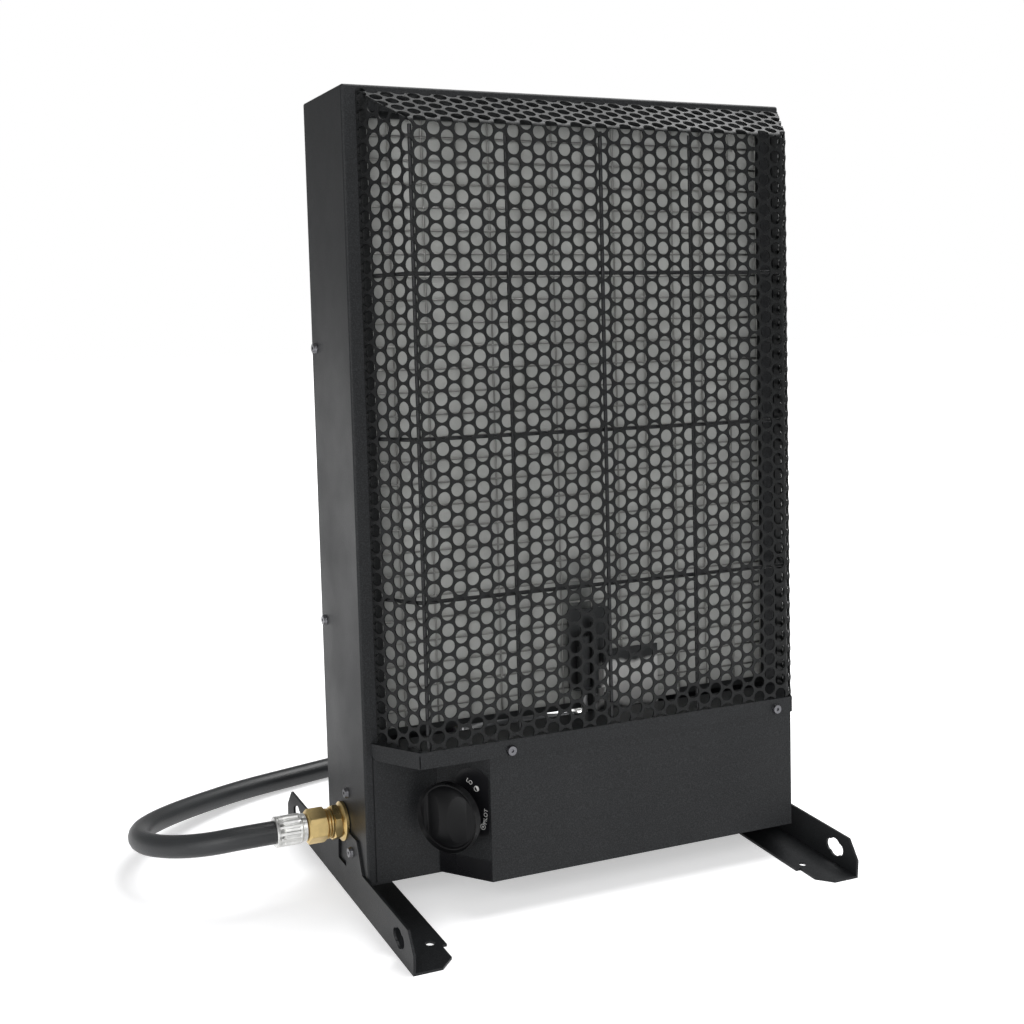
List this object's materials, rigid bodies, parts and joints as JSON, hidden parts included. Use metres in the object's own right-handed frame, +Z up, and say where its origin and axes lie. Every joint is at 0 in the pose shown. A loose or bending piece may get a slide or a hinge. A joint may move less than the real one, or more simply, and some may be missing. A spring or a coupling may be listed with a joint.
{
  "type": "portable propane heater",
  "caption": "Catalytic propane heater in a leaning black sheet case on two legs, with a perforated guard, a knob on a slanted panel and a crimped gas hose.",
  "frame": {"origin": "on the floor, under the centre of the box round the heater without its hose", "axes": "+Z up, +X to the right as the user faces the heater, +Y rearwards"},
  "size_m": [0.4239, 0.3287, 0.4864],
  "materials": {
    "black_sheet": "semi-gloss black powder coat",
    "zinc_sheet": "bare aluminised sheet steel",
    "black_wire": "black wire",
    "screw_steel": "blackened steel",
    "knob_plastic": "black moulded plastic",
    "label_film": "black printed film",
    "steel": "plain steel",
    "spring_steel": "spring wire",
    "brass": "machined brass",
    "valve_metal": "die-cast aluminium",
    "tube_metal": "soft aluminium tube",
    "ceramic_fibre": "grey catalyst fibre",
    "insulation": "white insulation fibre",
    "light_wire": "light wire screen",
    "electrode_ceramic": "white ceramic",
    "lead_plastic": "wire insulation",
    "hose_rubber": "black rubber",
    "crimp_steel": "zinc-plated crimp"
  },
  "bodies": {
    "heater": {"case_shell": "black_sheet", "back_panel": "black_sheet", "bottom_pan": "black_sheet", "guard_front": "black_sheet", "guard_left": "black_sheet", "guard_right": "black_sheet", "guard_top": "black_sheet", "guard_wire_grid": "black_wire", "tray_shelf": "black_sheet", "control_cover": "black_sheet", "cover_screws": "screw_steel", "dial_label": "label_film", "return_spring": "spring_steel", "valve_bonnet": "brass", "valve_body": "valve_metal", "magnet_unit": "steel", "valve_bracket": "zinc_sheet", "valve_screws": "screw_steel", "inlet_bracket": "zinc_sheet", "inlet_fitting": "brass", "inlet_lock_nut": "brass", "inlet_tube": "tube_metal", "burner_tube": "tube_metal", "orifice_fitting": "brass", "pilot_tube": "tube_metal", "thermocouple_lead": "tube_metal", "electrode_wire": "lead_plastic", "burner_tray": "zinc_sheet", "burner_brackets": "zinc_sheet", "gas_spreader": "zinc_sheet", "insulation_pad": "insulation", "catalyst_pad": "ceramic_fibre", "pad_screen": "light_wire", "pad_retainer": "zinc_sheet", "pilot_bracket": "zinc_sheet", "pilot_burner": "tube_metal", "thermocouple": "brass", "igniter_electrode": "electrode_ceramic", "tilt_switch": "lead_plastic", "tilt_switch_lead": "lead_plastic", "left_leg": "black_sheet", "right_leg": "black_sheet", "leg_screws": "screw_steel", "side_screws": "screw_steel", "hose_tailpiece": "brass", "hose_ferrule": "crimp_steel", "hose": "hose_rubber", "hose_coil": "hose_rubber", "far_ferrule": "crimp_steel", "far_tailpiece": "brass"},
    "push": {"push_collar": "steel"},
    "knob": {"knob": "knob_plastic", "valve_stem": "steel"},
    "plug": {"valve_plug": "brass"},
    "inlet_nut": {"inlet_nut": "brass"},
    "far_nut": {"far_nut": "brass"}
  },
  "joints": [
    {"name": "knob_push", "type": "slide", "parent": "heater", "child": "push", "axis": [0.8358, 0.5473, -0.0431], "range_m": [0, 0.0035], "stiffness_N_per_m": 1500, "springref_m": -0.004},
    {"name": "knob_turn", "type": "hinge", "parent": "push", "child": "knob", "pos_m": [-0.08546, -0.05598, 0.06321], "axis": [-0.8358, -0.5473, 0.0431], "range_deg": [0, 240]},
    {"name": "plug_turn", "type": "hinge", "parent": "heater", "child": "plug", "pos_m": [-0.08546, -0.05598, 0.06321], "axis": [-0.8358, -0.5473, 0.0431], "range_deg": [0, 240]},
    {"name": "inlet_nut_turn", "type": "hinge", "parent": "heater", "child": "inlet_nut", "pos_m": [-0.15835, 0.00117, 0.04367], "axis": [1, 0, 0], "continuous": true},
    {"name": "far_nut_turn", "type": "hinge", "parent": "heater", "child": "far_nut", "pos_m": [0.15115, 0.199, 0.0096], "axis": [1, 0, 0], "continuous": true}
  ],
  "couplings": [
    {"joint": "plug_turn", "follows": "knob_turn", "ratio": 1}
  ]
}
